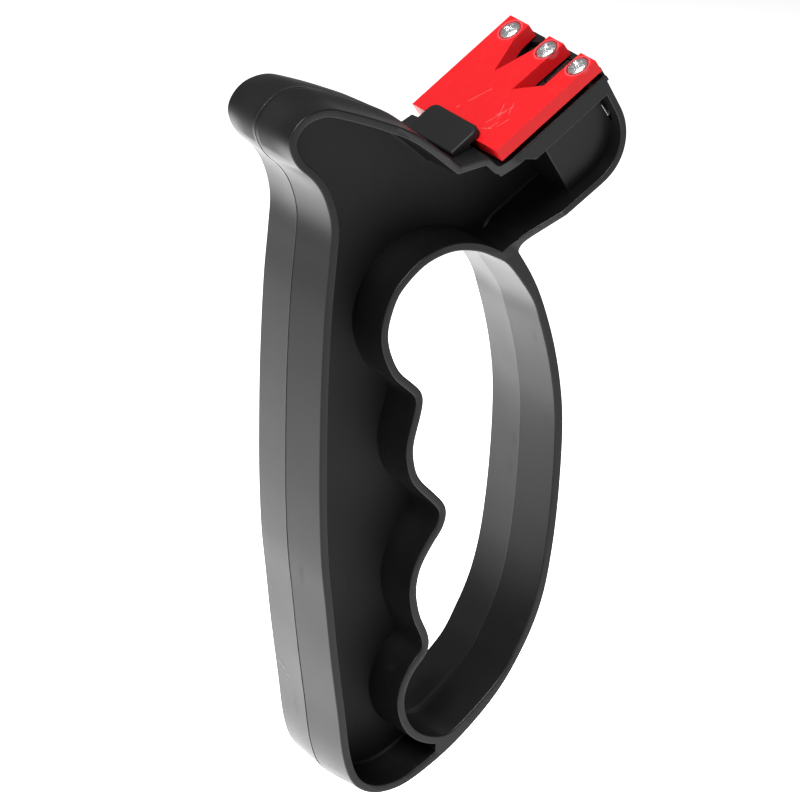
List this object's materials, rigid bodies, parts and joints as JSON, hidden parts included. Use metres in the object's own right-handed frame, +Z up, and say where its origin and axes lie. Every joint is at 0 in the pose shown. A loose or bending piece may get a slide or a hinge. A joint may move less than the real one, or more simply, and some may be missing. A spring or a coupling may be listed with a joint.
{
  "type": "knife and scissors sharpener",
  "caption": "Hand-held sharpener with a finger guard and a sloping head that carries a red cover plate with a knife notch and a scissors notch.",
  "frame": {"origin": "middle of the whole part's box", "axes": "+Z up along the grip, +X from the palm side to the finger guard, Y across the thickness with -Y the front"},
  "size_m": [0.0778, 0.031, 0.1516],
  "materials": {
    "black_plastic": "satin moulded plastic with fine grain",
    "carrier_plastic": "matt moulded plastic",
    "red_plastic": "semi-gloss moulded plastic",
    "nickel": "bright nickel plate",
    "carbide": "ground"
  },
  "bodies": {
    "handle": {"handle_frame": "black_plastic"},
    "latch": {"latch_tab": "black_plastic"},
    "cartridge": {"cartridge_carrier": "carrier_plastic", "cover_plate": "red_plastic", "cover_screw_1": "nickel", "cover_screw_2": "nickel", "cover_screw_3": "nickel", "knife_carbide_lower": "carbide", "knife_carbide_upper": "carbide", "scissor_carbide_lower": "carbide", "scissor_carbide_upper": "carbide"}
  },
  "joints": [
    {"name": "cartridge_slide", "type": "slide", "parent": "handle", "child": "cartridge", "axis": [0.8504, 0, 0.5262], "range_m": [0, 0.03]},
    {"name": "latch_flex", "type": "hinge", "parent": "handle", "child": "latch", "pos_m": [0.00264, 0, 0.05786], "axis": [0, -1, 0], "range_deg": [0, 12], "stiffness_Nm_per_rad": 0.02}
  ]
}
